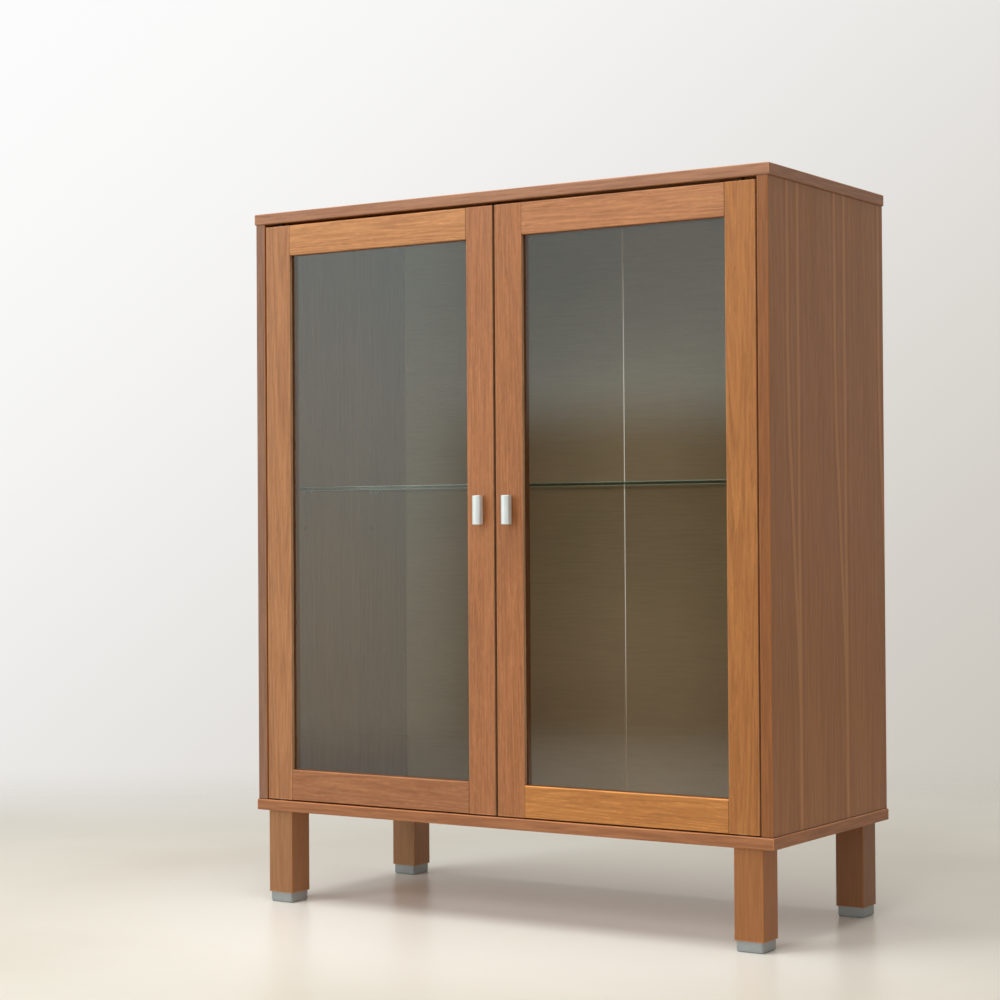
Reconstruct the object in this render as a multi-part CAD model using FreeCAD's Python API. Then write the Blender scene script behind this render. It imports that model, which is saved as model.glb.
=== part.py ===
import FreeCAD, Part
import os

# Display cabinet: a veneered carcass on four legs, with two framed glass doors on concealed pivots.
# Millimetres. +X is to the right, +Y to the back, +Z up. The origin is on the floor, at the middle of the
# box round the whole cabinet, handles included.

# Overall sizes
overall_width = 800.0
carcass_depth = 342.0
overall_height = 960.0

# Carcass boards
top_thickness = 15.0
bottom_thickness = 15.0
side_thickness = 15.0
side_overhang = 2.0
front_overhang = 0.5
panel_arris = 1.5
side_arris = 1.0

# Back boards, two thin halves set into a rebate all round, with slightly hollow meeting edges
back_thickness = 3.0
back_recess = 2.0
back_rebate_width = 8.0
back_edge_clearance = 0.5
back_meeting_gap = 1.5
back_meeting_hollow = 0.75

# Legs and foot caps
leg_side = 40.0
leg_length = 113.0
leg_side_inset = 17.0
leg_end_inset = 4.3
leg_arris = 1.5
cap_height = 14.0
cap_inset = 1.5
cap_round = 3.0
cap_spigot_diameter = 10.0
cap_spigot_length = 18.0

# Leg fixings: a hanger bolt in an insert nut, and a dowel that stops the leg turning
leg_bolt_diameter = 8.0
leg_bolt_in_leg = 55.0
insert_nut_diameter = 12.0
insert_nut_length = 12.0
leg_dowel_offset = 12.5
leg_dowel_in_leg = 20.0

# Dowels
dowel_diameter = 8.0
dowel_in_panel = 10.0
dowel_in_side = 20.0
dowel_row_shares = (0.14, 0.5, 0.86)

# Doors
door_thickness = 20.0
door_side_gap = 2.5
door_top_gap = 4.5
door_bottom_gap = 2.0
door_meeting_gap = 3.3
stile_width = 41.5
rail_height = 41.5
door_arris = 1.2
rail_dowel_diameter = 6.0
rail_dowel_in_stile = 12.0
rail_dowel_in_rail = 18.0
rail_dowel_pitch = 16.0
rail_dowel_edge = 9.5

# Panes and glazing beads
glass_thickness = 4.0
glass_setback = 6.0
glass_overlap = 8.0
glass_edge_clearance = 1.0
bead_bevel = 3.0

# Pivots
pivot_inset = 22.0
pivot_setback = 9.0
pivot_pin_diameter = 8.0
pivot_pin_tip = 0.8
pivot_bush_diameter = 12.0
top_bush_length = 12.0
top_pin_engagement = 7.0
top_pin_seat = 25.0
bottom_bush_length = 8.0
bottom_pin_engagement = 4.0
bottom_pin_seat = 10.0
washer_diameter = 16.0
pivot_end_play = 0.1
running_clearance = 0.05

# Pulls: an extruded bar with a rounded face on a narrower web
handle_length = 38.0
handle_width = 11.6
handle_projection = 13.0
handle_bar_depth = 8.0
handle_crown = 2.2
handle_web_width = 7.0
handle_end_bevel = 0.6
handle_screw_diameter = 4.0
handle_screw_pitch = 22.0
handle_screw_reach = 5.0
handle_screw_head_diameter = 8.0
handle_screw_head_height = 2.4

# Shelf and its pins
shelf_thickness = 5.0
shelf_height = 573.0
shelf_setback = 75.0
shelf_back_gap = 4.0
shelf_end_gap = 2.0
shelf_arris = 0.6
pin_diameter = 5.0
pin_in_side = 9.0
pin_collar_diameter = 9.0
pin_collar_thickness = 1.5
pin_seat_diameter = 7.0
pin_seat_length = 9.0
pin_seat_flat = 1.2
pin_front_inset = 14.0
pin_rear_inset = 85.0
pin_hole_pitch = 52.0
spare_pin_rows = 1

# Magnetic catch and strike plates
catch_width = 46.0
catch_depth = 15.0
catch_height = 13.0
catch_round = 1.5
catch_gap = 0.1
magnet_width = 12.0
magnet_depth = 6.0
magnet_height = 9.0
magnet_offset = 11.0
catch_screw_offset = 19.8
strike_width = 14.0
strike_height = 13.0
strike_thickness = 1.2
strike_top_inset = 1.5
strike_round = 1.5

# Small wood screws
wood_screw_diameter = 3.0
wood_screw_length = 15.0
wood_screw_head_diameter = 6.0
wood_screw_head_height = 1.6
catch_screw_reach = 10.0
back_screw_row_shares = (0.06, 0.35, 0.65, 0.94)
back_screw_end_shares = (0.3, 0.7)

# Fits and cuts
fit_clearance = 0.05
hole_end_clearance = 0.5
overrun = 5.0

# Places worked out from the sizes above
floor_clearance = leg_length + cap_height
panel_half = overall_width / 2
side_outer = panel_half - side_overhang
side_inner = side_outer - side_thickness
bottom_face = floor_clearance + bottom_thickness
top_under = overall_height - top_thickness
handle_proud = handle_projection - front_overhang
panel_back = (carcass_depth + handle_proud) / 2
panel_front = panel_back - carcass_depth
back_rear = panel_back - back_recess
back_face = back_rear - back_thickness
door_front = panel_front + front_overhang
door_rear = door_front + door_thickness
door_outer = side_inner - door_side_gap
door_inner = door_meeting_gap / 2
door_bottom = bottom_face + door_bottom_gap
door_top = top_under - door_top_gap
sight_outer = door_outer - stile_width
sight_inner = door_inner + stile_width
sight_bottom = door_bottom + rail_height
sight_top = door_top - rail_height
glass_front = door_front + glass_setback
glass_rear = glass_front + glass_thickness
pivot_x = door_outer - pivot_inset
pivot_y = door_front + pivot_setback
handle_x = door_inner + stile_width / 2
handle_z = (door_bottom + door_top) / 2
shelf_front = door_front + shelf_setback
shelf_back = back_face - shelf_back_gap
strike_rear = door_rear + strike_thickness
catch_front = strike_rear + catch_gap
leg_x = panel_half - leg_side_inset - leg_side / 2
leg_y_inset = leg_end_inset + leg_side / 2

SIDES = (("left", -1), ("right", 1))
UP = (0, 0, 1)
DOWN = (0, 0, -1)
FORWARD = (0, -1, 0)


def box(x, y, z):
    """Box between pairs of limits, each given as (low, high)."""
    return Part.makeBox(x[1] - x[0], y[1] - y[0], z[1] - z[0], FreeCAD.Vector(x[0], y[0], z[0]))


def rod(diameter, length, foot, direction):
    """Cylinder that starts at foot and runs along direction."""
    return Part.makeCylinder(diameter / 2, length, FreeCAD.Vector(*foot), FreeCAD.Vector(*direction))


def across(side, near, far):
    """Limits in x on one side of the cabinet, from two distances to the middle plane."""
    return tuple(sorted((side * near, side * far)))


def edges_along(shape, axes):
    """The straight edges that run along the axes named, such as "xz"."""
    chosen = []
    for edge in shape.Edges:
        run = edge.Vertexes[1].Point - edge.Vertexes[0].Point
        along = max("xyz", key=lambda axis: abs(getattr(run, axis)))
        if along in axes:
            chosen.append(edge)
    return chosen


def eased(shape, radius, axes):
    """Rounds the straight edges that run along the axes named, such as "xz"."""
    return shape.makeFillet(radius, edges_along(shape, axes))


def edge_nearest(shape, point):
    """The edge whose middle lies nearest to a point."""
    return min(shape.Edges, key=lambda edge: edge.CenterOfMass.distanceToPoint(FreeCAD.Vector(*point)))


def circle_nearest(shape, point):
    """The round edge whose middle lies nearest to a point."""
    rounds = [edge for edge in shape.Edges if edge.isClosed()]
    return min(rounds, key=lambda edge: edge.CenterOfMass.distanceToPoint(FreeCAD.Vector(*point)))


def reverse(direction):
    """The opposite direction."""
    return tuple(-step for step in direction)


def moved(point, direction, distance):
    """A point carried some distance along a unit direction."""
    return tuple(start + step * distance for start, step in zip(point, direction))


def bore(diameter, depth, mouth, direction):
    """Tool for a blind hole: a fit round a rod of this diameter, open past its mouth."""
    start = moved(mouth, direction, -overrun)
    return rod(diameter + 2 * fit_clearance, depth + hole_end_clearance + overrun, start, direction)


def screw(diameter, length, head_diameter, head_height, seat, direction):
    """Pan-headed screw whose head sits on seat and whose shank runs along direction."""
    crown = moved(seat, direction, -head_height)
    head = rod(head_diameter, head_height, crown, direction)
    head = head.makeChamfer(head_height / 2, [circle_nearest(head, crown)])
    return head.fuse(rod(diameter, length, seat, direction)).removeSplitter()


def back_rebate():
    """Space for both back boards: a shallow recess all round the rear of the carcass."""
    reach = side_inner + back_rebate_width
    low = bottom_face - back_rebate_width
    high = top_under + back_rebate_width
    return box((-reach, reach), (back_face, panel_back + overrun), (low, high))


def carcass_dowel_places():
    """Where each side panel is dowelled: (x, y) of every dowel row, with the joint's height and direction."""
    places = []
    middle = (side_inner + side_outer) / 2
    for name, side in SIDES:
        for share in dowel_row_shares:
            y = door_front + share * (panel_back - door_front)
            places.append(((side * middle, y, top_under), UP))
            places.append(((side * middle, y, bottom_face), DOWN))
    return places


def carcass_dowels():
    """Dowels between the side panels and the top and bottom panels."""
    length = dowel_in_side + dowel_in_panel
    dowels = []
    for joint, into_panel in carcass_dowel_places():
        dowels.append(rod(dowel_diameter, length, moved(joint, into_panel, -dowel_in_side), into_panel))
    return dowels


def leg_places():
    """Every leg's name, x, y and the direction in y towards the middle of the cabinet."""
    rows = (("front", panel_front + leg_y_inset, 1), ("rear", panel_back - leg_y_inset, -1))
    return [(f"{row}_{name}", side * leg_x, y, inward) for row, y, inward in rows for name, side in SIDES]


def leg_dowel_mouth(x, y, inward):
    """Middle of a leg's locating dowel, where the leg meets the bottom panel."""
    return (x, y + inward * leg_dowel_offset, floor_clearance)


def back_screw_places():
    """Seats of the back screws, on the rear face of the boards and over the middle of the rebate."""
    places = []
    edge = side_inner + back_rebate_width / 2
    low = bottom_face - back_rebate_width / 2
    high = top_under + back_rebate_width / 2
    for name, side in SIDES:
        for share in back_screw_row_shares:
            places.append((side * edge, back_rear, low + share * (high - low)))
        for share in back_screw_end_shares:
            places.append((side * share * edge, back_rear, low))
            places.append((side * share * edge, back_rear, high))
    return places


def cut_back_screws(shape, depth):
    """Drills the back screws' holes into a shape, down to a depth from the rear face."""
    for seat in back_screw_places():
        shape = shape.cut(bore(wood_screw_diameter, depth, seat, FORWARD))
    return shape


def catch_screw_places():
    """Mouths of the catch screws, on the underside of the catch."""
    y = catch_front + magnet_depth + (catch_depth - magnet_depth) / 2
    return [(side * catch_screw_offset, y, top_under - catch_height) for name, side in SIDES]


def catch_screw_length():
    """Length of a catch screw under its head."""
    return catch_height + catch_screw_reach


def top_panel():
    """Top panel with its rear rebate, dowel holes, pivot bushes' seats and catch screw holes."""
    panel = box((-panel_half, panel_half), (panel_front, panel_back), (top_under, overall_height))
    panel = eased(panel, panel_arris, "xy").cut(back_rebate())
    for joint, into_panel in carcass_dowel_places():
        if into_panel == UP:
            panel = panel.cut(bore(dowel_diameter, dowel_in_panel, joint, UP))
    for name, side in SIDES:
        mouth = (side * pivot_x, pivot_y, top_under)
        panel = panel.cut(bore(pivot_bush_diameter, top_bush_length, mouth, UP))
    for seat in catch_screw_places():
        panel = panel.cut(bore(wood_screw_diameter, catch_screw_length(), seat, UP))
    return cut_back_screws(panel, wood_screw_length)


def bottom_panel():
    """Bottom panel with its rear rebate, and holes for dowels, pivot pins and leg fixings."""
    panel = box((-panel_half, panel_half), (panel_front, panel_back), (floor_clearance, bottom_face))
    panel = eased(panel, panel_arris, "xy").cut(back_rebate())
    for joint, into_panel in carcass_dowel_places():
        if into_panel == DOWN:
            panel = panel.cut(bore(dowel_diameter, dowel_in_panel, joint, DOWN))
    for name, side in SIDES:
        mouth = (side * pivot_x, pivot_y, bottom_face)
        panel = panel.cut(bore(pivot_pin_diameter, bottom_pin_seat, mouth, DOWN))
    for name, x, y, inward in leg_places():
        panel = panel.cut(bore(insert_nut_diameter, insert_nut_length, (x, y, floor_clearance), UP))
        panel = panel.cut(bore(dowel_diameter, dowel_in_panel, leg_dowel_mouth(x, y, inward), UP))
    return cut_back_screws(panel, wood_screw_length)


def pin_columns():
    """Depths of the two columns of shelf pins."""
    return (shelf_front + pin_front_inset, shelf_back - pin_rear_inset)


def pin_axis_height():
    """Height of the pins that carry the shelf, whose flats touch its underside."""
    return shelf_height - pin_seat_flat


def side_panel(side):
    """Side panel with its rear rebate, dowel holes in both ends and shelf pin holes, the spare ones below."""
    panel = box(across(side, side_inner, side_outer), (door_front, panel_back), (bottom_face, top_under))
    panel = eased(panel, side_arris, "z").cut(back_rebate())
    for joint, into_panel in carcass_dowel_places():
        panel = panel.cut(bore(dowel_diameter, dowel_in_side, joint, reverse(into_panel)))
    for y in pin_columns():
        for row in range(spare_pin_rows + 1):
            mouth = (side * side_inner, y, pin_axis_height() - row * pin_hole_pitch)
            panel = panel.cut(bore(pin_diameter, pin_in_side, mouth, (side, 0, 0)))
    return cut_back_screws(panel, wood_screw_length)


def back_board(side):
    """Thin back board of one half, with a slightly hollow meeting edge at the middle."""
    outer = side * (side_inner + back_rebate_width - back_edge_clearance)
    inner = side * back_meeting_gap / 2
    hollow = side * (back_meeting_gap / 2 + back_meeting_hollow)
    low = bottom_face - back_rebate_width + back_edge_clearance
    high = top_under + back_rebate_width - back_edge_clearance
    corners = [(inner, low), (outer, low), (outer, high), (inner, high)]
    corners = [FreeCAD.Vector(x, back_face, z) for x, z in corners]
    edges = [Part.makeLine(corners[i], corners[i + 1]) for i in range(len(corners) - 1)]
    bulge = FreeCAD.Vector(hollow, back_face, (low + high) / 2)
    edges.append(Part.Arc(corners[-1], bulge, corners[0]).toShape())
    board = Part.Face(Part.Wire(edges)).extrude(FreeCAD.Vector(0, back_thickness, 0))
    return cut_back_screws(board, back_thickness + overrun)


def back_screws():
    """Screws that hold the back boards in their rebate."""
    sizes = (wood_screw_diameter, wood_screw_length, wood_screw_head_diameter, wood_screw_head_height)
    return [screw(*sizes, seat, FORWARD) for seat in back_screw_places()]


def leg(x, y, inward):
    """Square leg with eased edges, bored for its bolt and dowel above and its cap's spigot below."""
    half = leg_side / 2
    post = box((x - half, x + half), (y - half, y + half), (cap_height, floor_clearance))
    post = eased(post, leg_arris, "z")
    post = post.cut(bore(leg_bolt_diameter, leg_bolt_in_leg, (x, y, floor_clearance), DOWN))
    post = post.cut(bore(dowel_diameter, leg_dowel_in_leg, leg_dowel_mouth(x, y, inward), DOWN))
    return post.cut(bore(cap_spigot_diameter, cap_spigot_length, (x, y, cap_height), UP))


def foot_cap(x, y):
    """Moulded cap under a leg, rounded at its corners and at the floor, with a spigot up into the leg."""
    half = leg_side / 2 - cap_inset
    cap = box((x - half, x + half), (y - half, y + half), (0, cap_height))
    sole = min(cap.Faces, key=lambda face: face.CenterOfMass.z)
    cap = cap.makeFillet(cap_round, edges_along(cap, "z") + sole.Edges)
    return cap.fuse(rod(cap_spigot_diameter, cap_spigot_length, (x, y, cap_height), UP)).removeSplitter()


def leg_bolts():
    """Hanger bolts, from the legs up into the insert nuts."""
    length = leg_bolt_in_leg + insert_nut_length
    foot = floor_clearance - leg_bolt_in_leg
    return [rod(leg_bolt_diameter, length, (x, y, foot), UP) for name, x, y, inward in leg_places()]


def tube(outer, inner, length, foot, direction):
    """Round tube with a fit round a rod of the inner diameter."""
    hole = rod(inner, length + 2 * overrun, moved(foot, direction, -overrun), direction)
    return rod(outer, length, foot, direction).cut(hole)


def leg_insert_nuts():
    """Insert nuts in the underside of the bottom panel."""
    inner = leg_bolt_diameter + 2 * fit_clearance
    nuts = []
    for name, x, y, inward in leg_places():
        nuts.append(tube(insert_nut_diameter, inner, insert_nut_length, (x, y, floor_clearance), UP))
    return nuts


def leg_dowels():
    """Dowels that stop the legs turning on their bolts."""
    length = leg_dowel_in_leg + dowel_in_panel
    dowels = []
    for name, x, y, inward in leg_places():
        foot = moved(leg_dowel_mouth(x, y, inward), DOWN, leg_dowel_in_leg)
        dowels.append(rod(dowel_diameter, length, foot, UP))
    return dowels


def glass_shelf():
    """Clear glass shelf with ground edges."""
    reach = side_inner - shelf_end_gap
    pane = box((-reach, reach), (shelf_front, shelf_back), (shelf_height, shelf_height + shelf_thickness))
    return eased(pane, shelf_arris, "xy")


def shelf_pins():
    """Pins under the shelf: a stem in the side panel, a collar, and a seat with a flat on top."""
    pins = []
    for name, side in SIDES:
        for y in pin_columns():
            wall = (side * side_inner, y, pin_axis_height())
            inward = (-side, 0, 0)
            seat_length = pin_collar_thickness + pin_seat_length
            seat = rod(pin_seat_diameter, seat_length, wall, inward)
            seat = seat.fuse(rod(pin_collar_diameter, pin_collar_thickness, wall, inward))
            stem_end = moved(wall, inward, -pin_in_side)
            pin = seat.fuse(rod(pin_diameter, pin_in_side, stem_end, inward)).removeSplitter()
            reach = seat_length + shelf_end_gap + overrun
            tip = side_inner - reach
            half = pin_collar_diameter
            above = box(across(side, tip, side_inner), (y - half, y + half), (shelf_height, shelf_height + half))
            pins.append(pin.cut(above))
    return pins


def pocket(side):
    """Glass pocket in one door, open to the rear: the sight opening and the overlap round it."""
    x = across(side, sight_inner - glass_overlap, sight_outer + glass_overlap)
    z = (sight_bottom - glass_overlap, sight_top + glass_overlap)
    return box(x, (glass_front, door_rear + overrun), z)


def rail_dowel_places(side):
    """Every rail joint in one door: a point on the joint face, and the direction in x into the stile."""
    lower = door_bottom + rail_dowel_edge
    upper = door_top - rail_dowel_edge
    heights = (lower, lower + rail_dowel_pitch, upper - rail_dowel_pitch, upper)
    y = (door_front + door_rear) / 2
    joints = ((sight_outer, side), (sight_inner, -side))
    return [((side * x, y, z), (into, 0, 0)) for x, into in joints for z in heights]


def cut_rail_dowels(shape, side, depth, into_rail):
    """Drills the rail dowels' holes into a stile, or with into_rail into a rail."""
    for joint, into_stile in rail_dowel_places(side):
        direction = reverse(into_stile) if into_rail else into_stile
        shape = shape.cut(bore(rail_dowel_diameter, depth, joint, direction))
    return shape


def rail_dowels(side):
    """Dowels between the rails and stiles of one door."""
    length = rail_dowel_in_stile + rail_dowel_in_rail
    dowels = []
    for joint, into_stile in rail_dowel_places(side):
        foot = moved(joint, into_stile, -rail_dowel_in_rail)
        dowels.append(rod(rail_dowel_diameter, length, foot, into_stile))
    return dowels


def stile(side, near, far):
    """Upright of a door frame between two distances from the middle, rebated for the pane."""
    upright = box(across(side, near, far), (door_front, door_rear), (door_bottom, door_top))
    upright = eased(upright, door_arris, "z").cut(pocket(side))
    return cut_rail_dowels(upright, side, rail_dowel_in_stile, False)


def hinge_stile(side):
    """Outer upright, bored at both ends for its pivots."""
    upright = stile(side, sight_outer, door_outer)
    above = (side * pivot_x, pivot_y, door_top)
    below = (side * pivot_x, pivot_y, door_bottom)
    upright = upright.cut(bore(pivot_pin_diameter, top_pin_seat, above, DOWN))
    return upright.cut(bore(pivot_bush_diameter, bottom_bush_length, below, UP))


def strike_place(side):
    """Middle of the strike plate on the rear face of the door."""
    return (side * magnet_offset, strike_rear, door_top - strike_top_inset - strike_height / 2)


def handle_screw_places(side):
    """Seats of the two handle screws on the rear face of the meeting stile."""
    half = handle_screw_pitch / 2
    return [(side * handle_x, door_rear, handle_z + offset) for offset in (-half, half)]


def meeting_stile(side):
    """Inner upright, drilled for the handle screws and the strike screw."""
    upright = stile(side, door_inner, sight_inner)
    for seat in handle_screw_places(side):
        upright = upright.cut(bore(handle_screw_diameter, door_thickness + overrun, seat, FORWARD))
    return upright.cut(strike_screw(side, fit_clearance))


def rail(side, low, high):
    """Cross piece of a door frame between two heights, rebated for the pane."""
    bar = box(across(side, sight_inner, sight_outer), (door_front, door_rear), (low, high))
    bar = eased(bar, door_arris, "x").cut(pocket(side))
    return cut_rail_dowels(bar, side, rail_dowel_in_rail, True)


def door_glass(side):
    """Smoked pane, with a little room in its pocket."""
    grip = glass_overlap - glass_edge_clearance
    x = across(side, sight_inner - grip, sight_outer + grip)
    return box(x, (glass_front, glass_rear), (sight_bottom - grip, sight_top + grip))


def glazing_beads(side):
    """Four beads behind the pane, bevelled towards it: two across the pocket and two between them."""
    outer_x = across(side, sight_inner - glass_overlap, sight_outer + glass_overlap)
    inner_x = across(side, sight_inner, sight_outer)
    outer_z = (sight_bottom - glass_overlap, sight_top + glass_overlap)
    inner_z = (sight_bottom, sight_top)
    depth = (glass_rear, door_rear)
    middle_x = (inner_x[0] + inner_x[1]) / 2
    middle_z = (inner_z[0] + inner_z[1]) / 2
    beads = []
    for end in (0, 1):
        limits = tuple(sorted((outer_z[end], inner_z[end])))
        beads.append((box(outer_x, depth, limits), (middle_x, door_rear, inner_z[end])))
        limits = tuple(sorted((outer_x[end], inner_x[end])))
        beads.append((box(limits, depth, inner_z), (inner_x[end], door_rear, middle_z)))
    return [bead.makeChamfer(bead_bevel, [edge_nearest(bead, lip)]) for bead, lip in beads]


def handle(side):
    """Pull: an upright bar with a rounded face, on a narrower web against the stile."""
    x = side * handle_x
    half = handle_width / 2
    web = handle_web_width / 2
    face = door_front - handle_projection
    shoulder = face + handle_crown
    bar_rear = face + handle_bar_depth
    outline = [(half, shoulder), (half, bar_rear), (web, bar_rear), (web, door_front)]
    outline += [(-offset, y) for offset, y in reversed(outline)]
    foot = handle_z - handle_length / 2
    points = [FreeCAD.Vector(x + offset, y, foot) for offset, y in outline]
    edges = [Part.makeLine(points[i], points[i + 1]) for i in range(len(points) - 1)]
    crown = FreeCAD.Vector(x, face, foot)
    edges.append(Part.Arc(points[-1], crown, points[0]).toShape())
    bar = Part.Face(Part.Wire(edges)).extrude(FreeCAD.Vector(0, 0, handle_length))
    ends = [edge_nearest(bar, (x, face, z)) for z in (foot, foot + handle_length)]
    bar = bar.makeChamfer(handle_end_bevel, ends)
    for seat in handle_screw_places(side):
        mouth = moved(seat, FORWARD, door_thickness)
        bar = bar.cut(bore(handle_screw_diameter, handle_screw_reach, mouth, FORWARD))
    return bar


def handle_screws(side):
    """Screws through the meeting stile into the pull."""
    length = door_thickness + handle_screw_reach
    head = (handle_screw_head_diameter, handle_screw_head_height)
    return [screw(handle_screw_diameter, length, *head, seat, FORWARD) for seat in handle_screw_places(side)]


def strike_plate(side):
    """Steel plate on the rear of the meeting stile, drilled for its screw."""
    x, y, z = strike_place(side)
    half_width = strike_width / 2
    half_height = strike_height / 2
    plate = box((x - half_width, x + half_width), (door_rear, strike_rear), (z - half_height, z + half_height))
    return eased(plate, strike_round, "y").cut(strike_screw(side, fit_clearance))


def strike_screw(side, clearance=0):
    """Countersunk screw, flush with the strike plate. With a clearance round it, this is its hole."""
    seat = strike_place(side)
    wide = wood_screw_head_diameter / 2 + clearance
    narrow = wood_screw_diameter / 2 + clearance
    head = Part.makeCone(wide, narrow, wood_screw_head_height, FreeCAD.Vector(*seat), FreeCAD.Vector(*FORWARD))
    return head.fuse(rod(2 * narrow, wood_screw_length + clearance, seat, FORWARD)).removeSplitter()


def magnet_limits(side):
    """Limits of one magnet, at the front of the catch."""
    half = magnet_width / 2
    x = (side * magnet_offset - half, side * magnet_offset + half)
    low = top_under - catch_height + (catch_height - magnet_height) / 2
    return x, (catch_front, catch_front + magnet_depth), (low, low + magnet_height)


def catch_housing():
    """Body of the twin catch, with two pockets for the magnets and two screw holes."""
    half = catch_width / 2
    body = box((-half, half), (catch_front, catch_front + catch_depth), (top_under - catch_height, top_under))
    body = eased(body, catch_round, "z")
    for name, side in SIDES:
        body = body.cut(box(*magnet_limits(side)))
    for seat in catch_screw_places():
        body = body.cut(bore(wood_screw_diameter, catch_height + overrun, seat, UP))
    return body


def catch_magnets():
    """The two magnets of the catch."""
    return [box(*magnet_limits(side)) for name, side in SIDES]


def catch_screws():
    """Screws that hold the catch under the top panel."""
    head = (wood_screw_head_diameter, wood_screw_head_height)
    return [screw(wood_screw_diameter, catch_screw_length(), *head, seat, UP) for seat in catch_screw_places()]


def pivot_bore():
    """Bore of a bush that turns on a pivot pin."""
    return pivot_pin_diameter + 2 * running_clearance


def tipped(pin, tip):
    """Bevels the end of a pivot pin."""
    return pin.makeChamfer(pivot_pin_tip, [circle_nearest(pin, tip)])


def top_bush(side):
    """Bush in the top panel, deep enough for the door to be lifted off its lower pin."""
    foot = (side * pivot_x, pivot_y, top_under)
    return tube(pivot_bush_diameter, pivot_bore(), top_bush_length, foot, UP)


def top_pivot_pin(side):
    """Pin in the top of the hinge stile, which turns in the top bush."""
    foot = (side * pivot_x, pivot_y, door_top - top_pin_seat)
    length = top_pin_seat + door_top_gap + top_pin_engagement
    return tipped(rod(pivot_pin_diameter, length, foot, UP), moved(foot, UP, length))


def bottom_bush(side):
    """Bush in the lower end of the hinge stile."""
    foot = (side * pivot_x, pivot_y, door_bottom)
    return tube(pivot_bush_diameter, pivot_bore(), bottom_bush_length, foot, UP)


def bottom_pivot_pin(side):
    """Pin that stands up from the bottom panel into the door's bush."""
    foot = (side * pivot_x, pivot_y, bottom_face - bottom_pin_seat)
    length = bottom_pin_seat + door_bottom_gap + bottom_pin_engagement
    return tipped(rod(pivot_pin_diameter, length, foot, UP), moved(foot, UP, length))


def pivot_washer(side):
    """Washer that carries the door on the bottom panel."""
    foot = (side * pivot_x, pivot_y, bottom_face)
    return tube(washer_diameter, pivot_bore(), door_bottom_gap - pivot_end_play, foot, UP)


def carcass_nodes():
    """Every piece that stands still, by node name."""
    nodes = {
        "top_panel": top_panel(),
        "bottom_panel": bottom_panel(),
        "back_screws": back_screws(),
        "carcass_dowels": carcass_dowels(),
        "glass_shelf": glass_shelf(),
        "shelf_pins": shelf_pins(),
        "leg_bolts": leg_bolts(),
        "leg_insert_nuts": leg_insert_nuts(),
        "leg_dowels": leg_dowels(),
        "catch_housing": catch_housing(),
        "catch_magnets": catch_magnets(),
        "catch_screws": catch_screws(),
    }
    for name, side in SIDES:
        nodes[f"{name}_side_panel"] = side_panel(side)
        nodes[f"{name}_back_board"] = back_board(side)
        nodes[f"{name}_top_bush"] = top_bush(side)
        nodes[f"{name}_bottom_pivot_pin"] = bottom_pivot_pin(side)
        nodes[f"{name}_pivot_washer"] = pivot_washer(side)
    for name, x, y, inward in leg_places():
        nodes[f"{name}_leg"] = leg(x, y, inward)
        nodes[f"{name}_foot_cap"] = foot_cap(x, y)
    return nodes


def door_nodes(name, side):
    """Every piece of one door, by node name."""
    return {
        f"{name}_hinge_stile": hinge_stile(side),
        f"{name}_meeting_stile": meeting_stile(side),
        f"{name}_top_rail": rail(side, sight_top, door_top),
        f"{name}_bottom_rail": rail(side, door_bottom, sight_bottom),
        f"{name}_rail_dowels": rail_dowels(side),
        f"{name}_glass": door_glass(side),
        f"{name}_glazing_beads": glazing_beads(side),
        f"{name}_handle": handle(side),
        f"{name}_handle_screws": handle_screws(side),
        f"{name}_strike_plate": strike_plate(side),
        f"{name}_strike_screw": strike_screw(side),
        f"{name}_top_pivot_pin": top_pivot_pin(side),
        f"{name}_bottom_bush": bottom_bush(side),
    }


def main():
    """Builds every piece and writes one STEP file for each node."""
    nodes = carcass_nodes()
    for name, side in SIDES:
        nodes.update(door_nodes(name, side))
    os.makedirs("parts", exist_ok=True)
    for name, piece in nodes.items():
        shape = Part.makeCompound(piece) if isinstance(piece, list) else piece
        shape.exportStep(os.path.join("parts", name + ".step"))


main()
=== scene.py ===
import math
from collections import namedtuple

import bmesh
import bpy
from mathutils import Matrix, Vector

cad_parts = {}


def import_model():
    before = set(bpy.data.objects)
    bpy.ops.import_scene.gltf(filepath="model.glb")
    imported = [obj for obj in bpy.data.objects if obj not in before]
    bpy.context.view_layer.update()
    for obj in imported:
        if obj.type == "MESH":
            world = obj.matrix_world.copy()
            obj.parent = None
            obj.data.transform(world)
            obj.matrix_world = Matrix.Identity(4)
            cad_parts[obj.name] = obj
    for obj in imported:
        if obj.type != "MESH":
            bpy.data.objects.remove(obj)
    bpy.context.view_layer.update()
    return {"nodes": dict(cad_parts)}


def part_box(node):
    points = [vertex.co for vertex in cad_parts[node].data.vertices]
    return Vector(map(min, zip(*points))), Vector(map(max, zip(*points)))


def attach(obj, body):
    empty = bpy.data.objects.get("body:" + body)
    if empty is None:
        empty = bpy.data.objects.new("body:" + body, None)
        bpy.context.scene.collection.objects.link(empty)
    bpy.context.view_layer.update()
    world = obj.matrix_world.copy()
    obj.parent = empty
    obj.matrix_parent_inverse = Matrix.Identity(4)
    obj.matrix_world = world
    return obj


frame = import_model()

# Metres, in the cabinet's own frame: +X to the right, +Y to the back, +Z up, origin on the floor.
SIDES = {"left": -1, "right": 1}
AXES = "xyz"

# Noise: its mean, and limits that most of it lies between
NOISE_MEAN = 0.5
NOISE_LIMITS = (0.3, 0.7)
WIDE_NOISE_LIMITS = (0.2, 0.8)


def srgb(red, green, blue):
    """Linear colour from display values of 0 to 255."""
    shares = [value / 255 for value in (red, green, blue)]
    return tuple(s / 12.92 if s <= 0.04045 else ((s + 0.055) / 1.055) ** 2.4 for s in shares) + (1.0,)


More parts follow.
